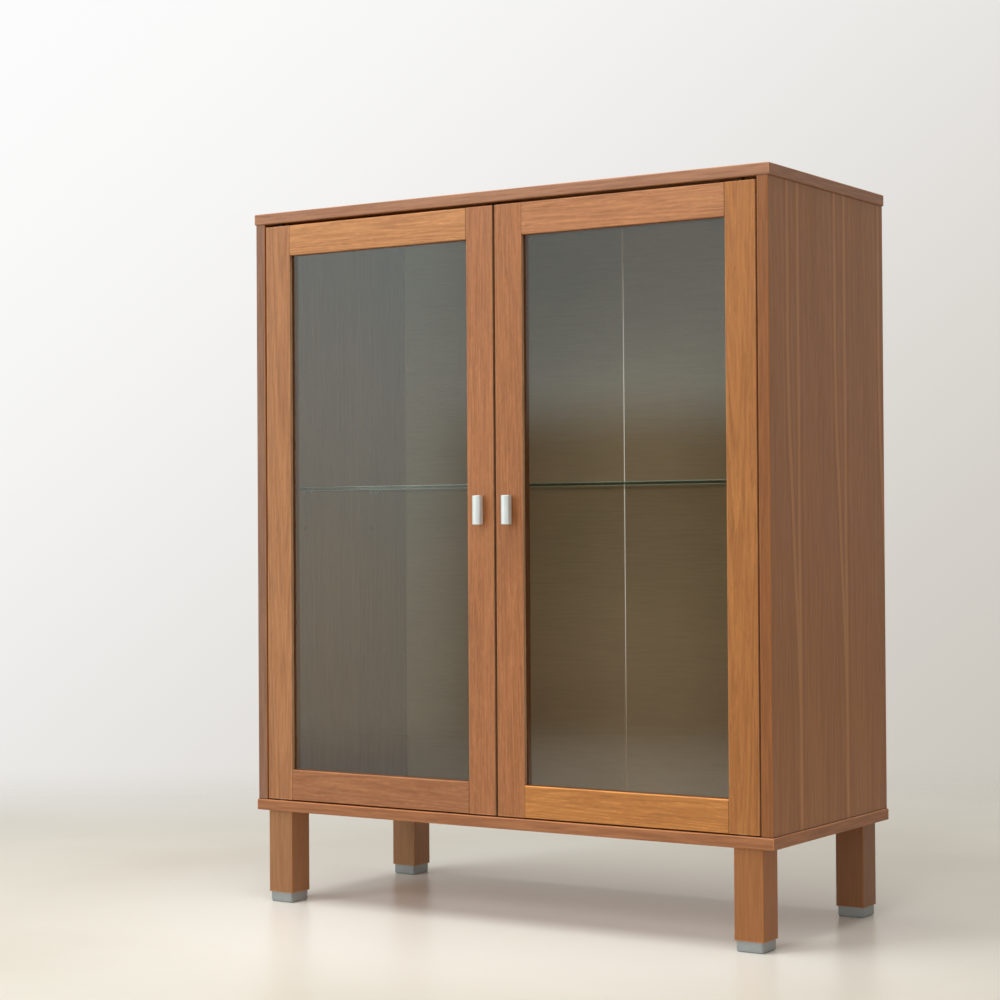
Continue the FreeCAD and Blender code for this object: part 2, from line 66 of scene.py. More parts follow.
def times(colour, shares):
    """A colour with each channel multiplied by its own share."""
    return tuple(value * share for value, share in zip(colour, shares)) + (1.0,)


class Graph:
    """Node tree of a material or world, with short calls for the nodes used here."""

    def __init__(self, owner):
        owner.use_nodes = True
        self.tree = owner.node_tree
        self.tree.nodes.clear()

    def plug(self, socket, value):
        """Links a socket to another, or sets its own value."""
        if isinstance(value, bpy.types.NodeSocket):
            self.tree.links.new(value, socket)
        else:
            socket.default_value = value

    def node(self, kind, inputs=None, **settings):
        """A new node with its settings and inputs."""
        made = self.tree.nodes.new(kind)
        for name, value in settings.items():
            setattr(made, name, value)
        for key, value in (inputs or {}).items():
            self.plug(made.inputs[key], value)
        return made

    def math(self, operation, first, second=0.0, third=0.0):
        """One sum of up to three numbers."""
        values = {0: first, 1: second, 2: third}
        return self.node("ShaderNodeMath", values, operation=operation).outputs[0]

    def mix(self, share, first, second):
        """Two colours mixed by a share."""
        values = {0: share, 6: first, 7: second}
        return self.node("ShaderNodeMix", values, data_type="RGBA").outputs[2]

    def mix_shader(self, share, first, second):
        """Two shaders mixed by a share."""
        return self.node("ShaderNodeMixShader", {0: share, 1: first.outputs[0], 2: second.outputs[0]})

    def span(self, value, low, high, start=0.0, end=1.0):
        """A number eased from start to end while value goes from low to high."""
        values = {"Value": value, "From Min": low, "From Max": high, "To Min": start, "To Max": end}
        return self.node("ShaderNodeMapRange", values, interpolation_type="SMOOTHSTEP").outputs[0]

    def scaled(self, colour, share):
        """A colour or vector made larger or smaller."""
        start = colour if isinstance(colour, bpy.types.NodeSocket) else colour[:3]
        return self.node("ShaderNodeVectorMath", {0: start, "Scale": share}, operation="SCALE").outputs[0]

    def added(self, first, second):
        """The sum of two vectors or colours."""
        return self.node("ShaderNodeVectorMath", {0: first, 1: second}, operation="ADD").outputs[0]

    def length(self, vector):
        """The length of a vector."""
        return self.node("ShaderNodeVectorMath", {0: vector}, operation="LENGTH").outputs["Value"]

    def dot(self, first, second):
        """The dot product of two vectors."""
        values = {0: first, 1: second}
        return self.node("ShaderNodeVectorMath", values, operation="DOT_PRODUCT").outputs["Value"]

    def towards(self, way, direction, limits, start=0.0, end=1.0):
        """A number eased from start to end while a way turns towards a direction."""
        unit = tuple(Vector(direction).normalized())
        return self.span(self.dot(way, unit), *limits, start, end)

    def split(self, vector):
        """The three numbers of a vector."""
        return self.node("ShaderNodeSeparateXYZ", {0: vector}).outputs

    def along(self, vector, axis):
        """The number of a vector along one axis."""
        return self.split(vector)[AXES.index(axis)]

    def stretched(self, vector, scale, shift=0.0):
        """Coordinates scaled along each axis and shifted."""
        values = {"Vector": vector, "Scale": scale, "Location": (shift, shift, shift)}
        return self.node("ShaderNodeMapping", values).outputs[0]

    def noise_node(self, vector, scale, detail, roughness):
        """Smooth noise in space."""
        values = {"Vector": vector, "Scale": scale, "Detail": detail, "Roughness": roughness}
        return self.node("ShaderNodeTexNoise", values)

    def noise(self, vector, scale, detail=2.0, roughness=0.5):
        """Smooth noise of about 0.5 in space."""
        return self.noise_node(vector, scale, detail, roughness).outputs["Fac"]

    def line_noise(self, place, scale, detail=2.0):
        """Smooth noise of about 0.5 along one number."""
        values = {"W": place, "Scale": scale, "Detail": detail}
        return self.node("ShaderNodeTexNoise", values, noise_dimensions="1D").outputs["Fac"]

    def place(self):
        """Coordinates in the cabinet's frame, which ride with each door."""
        return self.node("ShaderNodeTexCoord").outputs["Object"]

    def facing(self):
        """Direction that the surface looks in, in the cabinet's frame."""
        return self.node("ShaderNodeTexCoord").outputs["Normal"]

    def bump(self, height, depth, strength=1.0):
        """Surface direction over fine relief of some depth."""
        values = {"Height": height, "Distance": depth, "Strength": strength}
        return self.node("ShaderNodeBump", values).outputs[0]

    def principled(self, **values):
        """A surface with its colour, roughness and relief. Underscores stand for spaces in socket names."""
        inputs = {name.replace("_", " "): value for name, value in values.items()}
        return self.node("ShaderNodeBsdfPrincipled", inputs)

    def finish(self, shader):
        """Sends a shader to the material's output."""
        output = self.node("ShaderNodeOutputMaterial")
        self.tree.links.new(shader.outputs[0], output.inputs["Surface"])


def material(name):
    """A new material and its node tree."""
    made = bpy.data.materials.new(name)
    return made, Graph(made)


# Timber: the mean colour of each board, and how far its pale and deep grain go from that
TOP_RAIL_TONES = {"left": srgb(190, 130, 80), "right": srgb(180, 120, 76)}
BOTTOM_RAIL_TONES = {"left": srgb(158, 102, 65), "right": srgb(189, 124, 62)}
HINGE_TONES = {"left": srgb(169, 114, 73), "right": srgb(168, 107, 53)}
MEETING_TONES = {"left": srgb(167, 107, 66), "right": srgb(165, 105, 63)}
SIDE_TONE = srgb(160, 105, 61)
SIDE_LIP_TONES = {"left": srgb(140, 98, 74), "right": srgb(143, 86, 42)}
PANEL_TONE = srgb(162, 108, 70)
PANEL_LIP_TONES = {"top": srgb(163, 112, 81), "bottom": srgb(161, 103, 64)}
LEG_TONES = {
    "front_left": srgb(161, 111, 71),
    "front_right": srgb(160, 102, 56),
    "rear_left": srgb(156, 109, 70),
    "rear_right": srgb(143, 94, 56),
}
# Stiles' edge faces, in the gaps round the doors: paler than the wood, painted light that lifts the shade
# there
STILE_LIP_PAINTED_LIGHT_TONE = srgb(184, 142, 108)
BEAD_TONE = srgb(156, 104, 66)
DOWEL_TONE = srgb(205, 176, 136)
BACK_TONE = srgb(187, 157, 125)
PALE_SHARES = (1.24, 1.28, 1.30)
DEEP_SHARES = (0.74, 0.67, 0.62)
LIP_CONTRAST = 0.6
FACE_LIMITS = (0.55, 0.85)

# Growth rings, in veneer leaves and in solid boards: how much they bend, and their scale
VENEER_LEAF = 0.137
LEAF_START = -0.1635
LEAF_MIDDLE = LEAF_START + VENEER_LEAF / 2
LEAF_RINGS = (4300.0, 0.8)
BOARD_RINGS = (900.0, 9.0)
RING_DETAIL = 3.0
RING_SWAY = 1.0
RING_LIMITS = (0.36, 0.64)

# Veneer: two pale stripes on each leaf, and reddish streaks
STRIPE_PLACE = 0.0125
STRIPE_SPREAD = 0.029
STRIPE_RISE_SHARES = (0.12, 0.75)
STRIPE_WIDTH = (0.0016, 0.0062)
STRIPE_WANDER = 0.006
STRIPE_SHARE = 0.85
STRIPE_SHARES = (1.34, 1.46, 1.56)
STRIPE_HALO = (0.004, 0.013)
STRIPE_HALO_SHARE = 0.4
RED_SCALE = 110.0
RED_SQUEEZE = 0.04
RED_LIMITS = (0.5, 0.68)
RED_RISE_SHARES = (0.05, 0.6)
RED_SHARE = 0.6
RED_SHARES = (0.84, 0.7, 0.6)

# Grain: scales across the grain, and how far each pattern is drawn out along it
GRAIN_ROUGHNESS = 0.55
SWAY_SCALE = 34.0
SWAY_SQUEEZE = 0.2
SWAY_REACH = 0.012
DRIFT_SCALE = 16.0
DRIFT_SQUEEZE = 0.12
STREAK_SCALE = 330.0
STREAK_SQUEEZE = 0.045
FIBRE_SCALE = 560.0
FIBRE_SQUEEZE = 0.022
PORE_SCALE = 430.0
PORE_SQUEEZE = 0.11
PORE_LIMITS = (0.58, 0.74)
FLECK_SCALE = 420.0
FLECK_SQUEEZE = 0.2
FLECK_LIMITS = (0.52, 0.7)

# Grain: how much each pattern shows
GROWTH_SHARE = 0.3
DRIFT_SHARE = 0.3
STREAK_SHARE = 0.4
FIBRE_SHARE = 0.1
PORE_SHARE = 0.14
PORE_DEPTH_SHARE = 0.6
WOOD_ROUGHNESS = (0.36, 0.5)
WOOD_RELIEF = 0.00012
WOOD_SHEEN = 0.32

# Edges: paler ones, partly rubbed and partly a painted highlight, dark joints, a painted highlight on
# upper edges, and painted shade where the doors meet
WEAR_AND_HIGHLIGHT_WIDTH = 0.0018
WEAR_AND_HIGHLIGHT_SHARE = 0.4
JOINT_WIDTH = 0.0019
JOINT_SHARE = 0.8
# Painted highlight on the upper edges of the bottom rails and the bottom panel
PAINTED_HIGHLIGHT_WIDTH = 0.0024
PAINTED_HIGHLIGHT_SLOPE_LIMITS = (0.9, 0.99)
PAINTED_HIGHLIGHT_SHARES = {"left": 0.35, "right": 0.8}
PANEL_PAINTED_HIGHLIGHT_SHARES = {"top": 0.0, "bottom": 0.6}
SHADE_REACH = (0.0003, 0.0012)
SHADE_SHARE = 0.4


class Board:
    """Wood of one board: its box, the axis of its grain, and its coordinates in a material's nodes.

    A veneered board has its leaves side by side along leaf_axis.
    """

    def __init__(self, graph, node, tone, axis, seed, contrast, leaf_axis):
        self.graph = graph
        self.tone = tone
        self.axis = axis
        self.seed = seed
        self.contrast = contrast
        self.leaf_axis = leaf_axis
        self.low, self.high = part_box(node)
        self.place = graph.place()
        self.facing = graph.facing()
        self.leaf = self.leaf_place() if leaf_axis else self.place
        self.fibres = self.swayed_place()

    def leaf_place(self):
        """Coordinates on a veneer leaf: the same leaf laid again and again."""
        parts = list(self.graph.split(self.place))
        index = AXES.index(self.leaf_axis)
        parts[index] = self.graph.math("WRAP", parts[index], LEAF_START + VENEER_LEAF, LEAF_START)
        return self.graph.node("ShaderNodeCombineXYZ", dict(enumerate(parts))).outputs[0]

    def drawn_out(self, place, squeeze, axis=None):
        """Coordinates that draw a pattern out along the grain, or along another axis."""
        scale = tuple(squeeze if name == (axis or self.axis) else 1.0 for name in AXES)
        return self.graph.stretched(place, scale, self.seed)

    def swayed_place(self):
        """Coordinates pushed a little from side to side, so that the fibres wander along the board."""
        start = self.drawn_out(self.leaf, SWAY_SQUEEZE)
        push = self.graph.noise_node(start, SWAY_SCALE, detail=1.0, roughness=0.5).outputs["Color"]
        return self.graph.added(self.leaf, self.graph.scaled(push, SWAY_REACH))

    def pattern(self, place, scale, squeeze, detail=2.0, axis=None):
        """Noise drawn out along the grain, or along another axis."""
        return self.graph.noise(self.drawn_out(place, squeeze, axis), scale, detail, GRAIN_ROUGHNESS)

    def sway(self):
        """How far the grain leans to one side or the other."""
        lean = self.pattern(self.leaf, SWAY_SCALE, SWAY_SQUEEZE)
        return self.graph.math("SUBTRACT", lean, NOISE_MEAN)

    def rise(self, shares):
        """Places along the grain, from shares of the board's length."""
        index = AXES.index(self.axis)
        length = self.high[index] - self.low[index]
        return [self.low[index] + share * length for share in shares]

    def growth(self, heart, tip):
        """Growth rings, from 0 to 1: nested bowls about a heart line along the grain."""
        graph = self.graph
        bend, scale = LEAF_RINGS if self.leaf_axis else BOARD_RINGS
        parts = dict(zip(AXES, graph.split(self.leaf)))
        rise = graph.math("SUBTRACT", parts.pop(self.axis), tip)
        spread = 0.0
        for part, centre in zip(parts.values(), heart):
            offset = graph.math("SUBTRACT", part, centre)
            spread = graph.math("MULTIPLY_ADD", offset, offset, spread)
        ring = graph.math("SUBTRACT", graph.math("MULTIPLY", spread, bend), rise)
        ring = graph.math("MULTIPLY_ADD", self.sway(), RING_SWAY / scale, ring)
        rings = graph.line_noise(graph.math("ADD", ring, self.seed), scale, RING_DETAIL)
        return graph.span(rings, *RING_LIMITS)

    def toned(self, depth, tone, contrast):
        """A tone made paler or deeper by the depth of the grain."""
        pale = times(tone, [1.0 + contrast * (share - 1.0) for share in PALE_SHARES])
        deep = times(tone, [1.0 + contrast * (share - 1.0) for share in DEEP_SHARES])
        return self.graph.mix(depth, pale, deep)

    def grain_colour(self, growth):
        """Colour of the grain: rings, broad drift and streaks together."""
        graph = self.graph
        drift = graph.span(self.pattern(self.fibres, DRIFT_SCALE, DRIFT_SQUEEZE), *NOISE_LIMITS)
        streak = graph.span(self.pattern(self.fibres, STREAK_SCALE, STREAK_SQUEEZE), *NOISE_LIMITS)
        depth = graph.math("MULTIPLY", growth, GROWTH_SHARE)
        depth = graph.math("MULTIPLY_ADD", drift, DRIFT_SHARE, depth)
        depth = graph.math("MULTIPLY_ADD", streak, STREAK_SHARE, depth)
        return self.toned(depth, self.tone, self.contrast)

    def stripe_gap(self):
        """How far a point on a veneer leaf lies from its two stripes, which part towards one end."""
        graph = self.graph
        rise = graph.along(self.leaf, self.axis)
        spread = graph.span(rise, *self.rise(STRIPE_RISE_SHARES), 0.0, STRIPE_SPREAD)
        across = graph.along(self.leaf, self.leaf_axis)
        across = graph.math("MULTIPLY_ADD", self.sway(), STRIPE_WANDER, across)
        straight = graph.math("SUBTRACT", across, LEAF_MIDDLE + STRIPE_PLACE)
        slanted = graph.math("ADD", straight, spread)
        return graph.math("MINIMUM", graph.math("ABSOLUTE", straight), graph.math("ABSOLUTE", slanted))

    def veneered(self, colour, face_axis, outward):
        """Show veneer on the outward face: pale stripes in a darker halo, and reddish streaks."""
        graph = self.graph
        gap = self.stripe_gap()
        halo = graph.span(gap, *STRIPE_HALO, STRIPE_HALO_SHARE, 0.0)
        streak = graph.span(self.pattern(self.leaf, RED_SCALE, RED_SQUEEZE), *RED_LIMITS)
        reach = graph.span(graph.along(self.leaf, self.axis), *self.rise(RED_RISE_SHARES), RED_SHARE, 0.0)
        dark = graph.math("ADD", halo, graph.math("MULTIPLY", streak, reach))
        show = graph.mix(dark, colour, times(self.tone, RED_SHARES))
        stripe = graph.span(gap, *STRIPE_WIDTH, STRIPE_SHARE, 0.0)
        show = graph.mix(stripe, show, times(self.tone, STRIPE_SHARES))
        look = graph.math("MULTIPLY", graph.along(self.facing, face_axis), outward)
        return graph.mix(graph.span(look, *FACE_LIMITS), colour, show)

    def looks_along(self, axis):
        """1 on the faces that look one way or the other along an axis, and 0 on the rest."""
        look = self.graph.math("ABSOLUTE", self.graph.along(self.facing, axis))
        return self.graph.span(look, *FACE_LIMITS)

    def lip_colour(self, tone, axis):
        """Colour of a lip: straight streaks along it, with no rings."""
        streak = self.pattern(self.place, STREAK_SCALE, STREAK_SQUEEZE, axis=axis)
        return self.toned(self.graph.span(streak, *NOISE_LIMITS), tone, LIP_CONTRAST * self.contrast)

    def with_lips(self, colour, tone, face_axis):
        """The face's colour, and a lip's on the faces that don't look along the face's axis."""
        long_lip = self.lip_colour(tone, self.axis)
        end_lip = self.lip_colour(tone, self.leaf_axis or self.axis)
        lips = self.graph.mix(self.looks_along(self.axis), long_lip, end_lip)
        return self.graph.mix(self.looks_along(face_axis), lips, colour)

    def grain_shade(self, fibre, pores):
        """Brightness of the grain, about 1: fine fibre, with darker pores."""
        share = self.contrast * FIBRE_SHARE
        shade = self.graph.math("MULTIPLY_ADD", fibre, 2 * share, 1.0 - share)
        return self.graph.math("MULTIPLY_ADD", pores, -self.contrast * PORE_SHARE, shade)

    def edge_gap(self):
        """How far a point on the board lies from its nearest edge: the middle one of three gaps."""
        graph = self.graph
        gaps = []
        for part, low, high in zip(graph.split(self.place), self.low, self.high):
            near = graph.math("SUBTRACT", part, low)
            far = graph.math("SUBTRACT", high, part)
            gaps.append(graph.math("MINIMUM", near, far))
        total = graph.math("ADD", graph.math("ADD", gaps[0], gaps[1]), gaps[2])
        least = graph.math("MINIMUM", graph.math("MINIMUM", gaps[0], gaps[1]), gaps[2])
        most = graph.math("MAXIMUM", graph.math("MAXIMUM", gaps[0], gaps[1]), gaps[2])
        return graph.math("SUBTRACT", graph.math("SUBTRACT", total, least), most)

    def wear_and_highlight(self):
        """Paler edges, partly rubbed and partly a painted highlight, not on a veneered board's lower edges.
        """
        graph = self.graph
        # Part wear, part painted highlight on the arrises
        worn_and_lit = graph.span(self.edge_gap(), 0.0, WEAR_AND_HIGHLIGHT_WIDTH, WEAR_AND_HIGHLIGHT_SHARE, 0.0)
        if not self.leaf_axis:
            return worn_and_lit
        above = graph.span(graph.along(self.place, "z"), self.low.z, self.low.z + 2 * WEAR_AND_HIGHLIGHT_WIDTH)
        return graph.math("MULTIPLY", worn_and_lit, above)

    def flecks(self, share):
        """Short pale marks along the grain."""
        marks = self.pattern(self.fibres, FLECK_SCALE, FLECK_SQUEEZE, detail=1.0)
        return self.graph.math("MULTIPLY", self.graph.span(marks, *FLECK_LIMITS), share)

    def end_line(self):
        """Dark line at both ends of the board, where it butts against its neighbours."""
        graph = self.graph
        index = AXES.index(self.axis)
        part = graph.along(self.place, self.axis)
        near = graph.math("SUBTRACT", part, self.low[index])
        far = graph.math("SUBTRACT", self.high[index], part)
        return graph.span(graph.math("MINIMUM", near, far), 0.0, JOINT_WIDTH, -JOINT_SHARE, 0.0)

    def painted_highlight_line(self, share):
        """Painted highlight: a paler line along the board's upper edge, but not on its flat top."""
        graph = self.graph
        below = graph.math("SUBTRACT", self.high.z, graph.along(self.place, "z"))
        slope = graph.span(graph.along(self.facing, "z"), *PAINTED_HIGHLIGHT_SLOPE_LIMITS, 1.0, 0.0)
        return graph.math("MULTIPLY", slope, graph.span(below, 0.0, PAINTED_HIGHLIGHT_WIDTH, share, 0.0))

    def face_shade(self, x):
        """Painted shade on the face at one x, where the doors meet."""
        away = self.graph.math("SUBTRACT", self.graph.along(self.place, "x"), x)
        return self.graph.span(self.graph.math("ABSOLUTE", away), *SHADE_REACH, -SHADE_SHARE, 0.0)

    def marks(self, fleck, jointed, crest, shaded):
        """What makes the board paler or darker besides its grain, painted highlights and shade among them.
        """
        marks = [self.wear_and_highlight()]
        if fleck:
            marks.append(self.flecks(fleck))
        if jointed:
            marks.append(self.end_line())
        if crest:
            marks.append(self.painted_highlight_line(crest))
        if shaded is not None:
            marks.append(self.face_shade(shaded))
        return marks


def timber(
    name, node, tone, axis, seed, heart, tip=0.0, contrast=1.0, leaf_axis=None, face_axis=None,
    outward=1, lip=None, fleck=0.0, jointed=False, crest=0.0, shaded=None,
):
    """Oiled cherry: growth rings, streaks, fine fibre, short pores, and edges a little paler, partly rubbed
    and partly a painted highlight.

    A board with flecks has short pale marks along its grain, a jointed one a dark line at its ends, a
    shaded one painted shade on its face at that x, and one with a highlight share a paler upper edge,
    which is a painted highlight. A board with a lip has that tone on the faces that don't look along
    face_axis. A veneered board has its leaves along leaf_axis, the show ones on its outward face.
    """
    made, graph = material(name)
    board = Board(graph, node, tone, axis, seed, contrast, leaf_axis)
    colour = board.grain_colour(board.growth(heart, tip))
    if leaf_axis:
        colour = board.veneered(colour, face_axis, outward)
    if lip:
        colour = board.with_lips(colour, lip, face_axis)
    fibre = board.pattern(board.fibres, FIBRE_SCALE, FIBRE_SQUEEZE, detail=3.0)
    pores = graph.span(board.pattern(board.fibres, PORE_SCALE, PORE_SQUEEZE, detail=1.0), *PORE_LIMITS)
    shade = board.grain_shade(fibre, pores)
    for mark in board.marks(fleck, jointed, crest, shaded):
        shade = graph.math("ADD", shade, mark)
    relief = graph.math("MULTIPLY_ADD", pores, -PORE_DEPTH_SHARE, fibre)
    surface = graph.principled(
        Base_Color=graph.scaled(colour, shade),
        Roughness=graph.span(fibre, *NOISE_LIMITS, *WOOD_ROUGHNESS),
        Specular_IOR_Level=WOOD_SHEEN,
        Normal=graph.bump(relief, WOOD_RELIEF),
    )
    graph.finish(surface)
    return made


# Glass: tints, how much it mirrors, and its smudges
SMOKE_TINT = srgb(241, 242, 238)
SMOKE_SCALE = 3.0
SMOKE_SHARES = (0.98, 1.02)
CLEAR_TINT = srgb(246, 251, 248)
HEAD_ON_MIRROR = 0.05
MIRROR_BLEND = 0.5
MIRROR_POWER = 5.0
SMUDGE_SCALE = 14.0
SMUDGE_LIMITS = (0.4, 0.7)
SMUDGE_ROUGHNESS = (0.0, 0.02)

# Shelf: its edges and ground arrises. The limits are of how far a face looks up or down.
SHELF_EDGE_TINT = srgb(206, 220, 212)
SHELF_ARRIS = srgb(206, 218, 210)
SHELF_FACE_LIMITS = (0.6, 0.8)
ARRIS_LOW_LIMITS = (0.15, 0.3)
ARRIS_HIGH_LIMITS = (0.85, 0.97)
ARRIS_SCALE = 400.0
ARRIS_SHARES = (0.85, 1.15)
ARRIS_ROUGHNESS = (0.3, 0.5)
ARRIS_RELIEF = 0.0001
ARRIS_STRENGTH = 0.3


def mirror_share(graph):
    """Share of light that a glass face mirrors: little head on, nearly all at a glance."""
    slant = graph.node("ShaderNodeLayerWeight", {"Blend": MIRROR_BLEND}).outputs["Facing"]
    glance = graph.math("POWER", slant, MIRROR_POWER)
    return graph.math("MULTIPLY_ADD", glance, 1.0 - HEAD_ON_MIRROR, HEAD_ON_MIRROR)


def glass_face(graph, place, tint):
    """Thin glass face: a tinted clear view with a mirror over it, a little smudged."""
    smudge = graph.noise(place, SMUDGE_SCALE, detail=4.0, roughness=0.6)
    rough = graph.span(smudge, *SMUDGE_LIMITS, *SMUDGE_ROUGHNESS)
    clear = graph.node("ShaderNodeBsdfTransparent", {"Color": tint})
    gloss = graph.node("ShaderNodeBsdfGlossy", {"Roughness": rough})
    return graph.mix_shader(mirror_share(graph), clear, gloss)


def smoked_glass(name):
    """Grey-brown pane of a door, slightly uneven in tint."""
    made, graph = material(name)
    place = graph.place()
    cloud = graph.noise(place, SMOKE_SCALE)
    tint = graph.scaled(SMOKE_TINT, graph.span(cloud, *WIDE_NOISE_LIMITS, *SMOKE_SHARES))
    graph.finish(glass_face(graph, place, tint))
    return made


def shelf_glass(name):
    """Clear shelf, a little green through its edges, with ground arrises."""
    made, graph = material(name)
    place = graph.place()
    slope = graph.math("ABSOLUTE", graph.along(graph.facing(), "z"))
    tint = graph.mix(graph.span(slope, *SHELF_FACE_LIMITS), SHELF_EDGE_TINT, CLEAR_TINT)
    grit = graph.noise(place, ARRIS_SCALE)
    ground = graph.principled(
        Base_Color=graph.scaled(SHELF_ARRIS, graph.span(grit, *NOISE_LIMITS, *ARRIS_SHARES)),
        Roughness=graph.span(grit, *NOISE_LIMITS, *ARRIS_ROUGHNESS),
        Normal=graph.bump(grit, ARRIS_RELIEF, ARRIS_STRENGTH),
    )
    steep = graph.span(slope, *ARRIS_HIGH_LIMITS, 1.0, 0.0)
    arris = graph.math("MULTIPLY", graph.span(slope, *ARRIS_LOW_LIMITS), steep)
    graph.finish(graph.mix_shader(arris, glass_face(graph, place, tint), ground))
    return made


# Metals: colour, scale of the brush marks along each axis, roughness, and how metallic each one is
Metal = namedtuple("Metal", "colour brush rough metallic")
EVEN_BRUSH = (700.0, 700.0, 700.0)
UPRIGHT_BRUSH = (900.0, 900.0, 40.0)
METALS = {
    "zinc_steel": Metal(srgb(190, 192, 192), EVEN_BRUSH, (0.3, 0.5), 1.0),
    "browned_steel": Metal(srgb(62, 50, 44), EVEN_BRUSH, (0.4, 0.55), 1.0),
    "satin_aluminium": Metal(srgb(226, 231, 231), UPRIGHT_BRUSH, (0.42, 0.52), 0.3),
    "nickel": Metal(srgb(206, 200, 188), EVEN_BRUSH, (0.2, 0.35), 1.0),
    "brass": Metal(srgb(206, 172, 100), EVEN_BRUSH, (0.25, 0.4), 1.0),
}
BRUSH_SHARE = 0.12
BRUSH_RELIEF = 0.00002
BRUSH_STRENGTH = 0.4
PATCH_SCALE = 60.0
PATCH_SHARES = (0.9, 0.98)

# Moulded pieces: colour, roughness, and the scale of the grit
Moulding = namedtuple("Moulding", "colour rough grit_scale")
MOULDINGS = {
    "grey_cap": Moulding(srgb(156, 158, 158), (0.42, 0.58), 1400.0),
    "brown_nylon": Moulding(srgb(62, 46, 36), (0.4, 0.55), 1400.0),
    "magnet": Moulding(srgb(62, 60, 60), (0.5, 0.65), 2200.0),
    # Dark cross recesses of the screws: painted shade
    "painted_recess_shade": Moulding(srgb(46, 44, 42), (0.5, 0.7), 1400.0),
}
GRIT_SHARE = 0.14
GRIT_RELIEF = 0.00006
GRIT_STRENGTH = 0.5
SCUFF_STRETCH = (1.0, 1.0, 4.0)
SCUFF_SCALE = 90.0
SCUFF_LIMITS = (0.35, 0.7)
SCUFF_SHARES = (0.88, 0.98)


def metal(name):
    """Metal with fine marks drawn out along one axis, or even all round."""
    made, graph = material(name)
    kind = METALS[name]
    place = graph.place()
    marks = graph.noise(graph.stretched(place, kind.brush), scale=1.0, detail=3.0, roughness=0.6)
    patch = graph.span(graph.noise(place, PATCH_SCALE), *WIDE_NOISE_LIMITS, *PATCH_SHARES)
    surface = graph.principled(
        Base_Color=graph.scaled(kind.colour, graph.math("MULTIPLY_ADD", marks, BRUSH_SHARE, patch)),
        Metallic=kind.metallic,
        Roughness=graph.span(marks, *NOISE_LIMITS, *kind.rough),
        Normal=graph.bump(marks, BRUSH_RELIEF, BRUSH_STRENGTH),
    )
    graph.finish(surface)
    return made


def moulded(name):
    """Moulded piece with a fine spark-eroded grain and faint scuffs."""
    made, graph = material(name)
    kind = MOULDINGS[name]
    place = graph.place()
    grit = graph.noise(place, kind.grit_scale)
    scuff = graph.noise(graph.stretched(place, SCUFF_STRETCH), SCUFF_SCALE, detail=3.0, roughness=0.65)
    shade = graph.math("MULTIPLY_ADD", grit, GRIT_SHARE, graph.span(scuff, *SCUFF_LIMITS, *SCUFF_SHARES))
    surface = graph.principled(
        Base_Color=graph.scaled(kind.colour, shade),
        Roughness=graph.span(scuff, *NOISE_LIMITS, *kind.rough),
        Normal=graph.bump(grit, GRIT_RELIEF, GRIT_STRENGTH),
    )
    graph.finish(surface)
    return made


# Boards of the right door: tones, axis of the grain, heart line, tip of the rings, and flecks.
# On the left door, what lies along x is mirrored.
Cut = namedtuple("Cut", "tones axis heart tip fleck")
DOOR_CUTS = {
    "hinge_stile": Cut(HINGE_TONES, "z", (0.352, -0.14), 0.1, 0.07),
    "meeting_stile": Cut(MEETING_TONES, "z", (0.052, -0.12), 0.5, 0.14),
    "top_rail": Cut(TOP_RAIL_TONES, "x", (-0.13, 0.928), 0.1, 0.12),
    "bottom_rail": Cut(BOTTOM_RAIL_TONES, "x", (-0.12, 0.172), 0.3, 0.16),
}

# Heart lines, tips and contrasts of the other boards
BEAD_HEART = (0.2, -0.1)
SIDE_HEART_X = 0.4
SIDE_TIP = 0.18
SIDE_CONTRAST = 0.8
BACK_HEART = (0.17, 0.5)
BACK_CONTRAST = 0.32
PANEL_TIP = -0.2
LEG_HEART_X = 0.03
LEG_HEART_Y = 0.02
LEG_TIP = -0.2
LEG_CONTRAST = 0.6
DOWEL_HEART = (0.0, 0.0)

# Where the noise of each kind of board starts, and how far on the next board's starts
DOOR_SEED = 3.1
DOOR_SEED_STEP = 7.7
DOOR_BOARD_SEED_STEP = 1.3
SIDE_SEED = 21.0
SIDE_SEED_STEP = 4.0
PANEL_SEED = 31.0
PANEL_SEED_STEP = 5.0
BACK_SEED = 41.0
LEG_SEED = 51.0
LEG_SEED_STEP = 3.0
BEAD_SEED = 61.0
DOWEL_SEED = 71.0
CROSS_DOWEL_SEED = 73.0


def dress(made, *nodes):
    """Gives CAD nodes their material."""
    for node in nodes:
        mesh = frame["nodes"][node].data
        mesh.materials.clear()
        mesh.materials.append(made)


def dress_board(node, *cut, **finish):
    """Gives a wooden CAD node a timber of its own."""
    dress(timber(node, node, *cut, **finish), node)


def dress_door_board(name, side, board, seed):
    """One stile or rail of a door."""
    node = f"{name}_{board}"
    tones, axis, heart, tip, fleck = DOOR_CUTS[board]
    finish = {"fleck": fleck}
    if axis == "z":
        heart = (side * heart[0], heart[1])
        # Stiles get a paler tone on their edge faces: painted light in the gaps
        finish.update(lip=STILE_LIP_PAINTED_LIGHT_TONE, face_axis="y")
    else:
        tip = side * tip
        finish.update(jointed=True)
    # A painted highlight along the bottom rail's upper edge
    if board == "bottom_rail":
        finish.update(crest=PAINTED_HIGHLIGHT_SHARES[name])
    # Painted shade on the meeting stile's face in the gap between the doors
    if board == "meeting_stile":
        low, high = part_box(node)
        finish.update(shaded=min(low.x, high.x, key=abs))
    dress_board(node, tones[name], axis, seed, heart, tip, **finish)


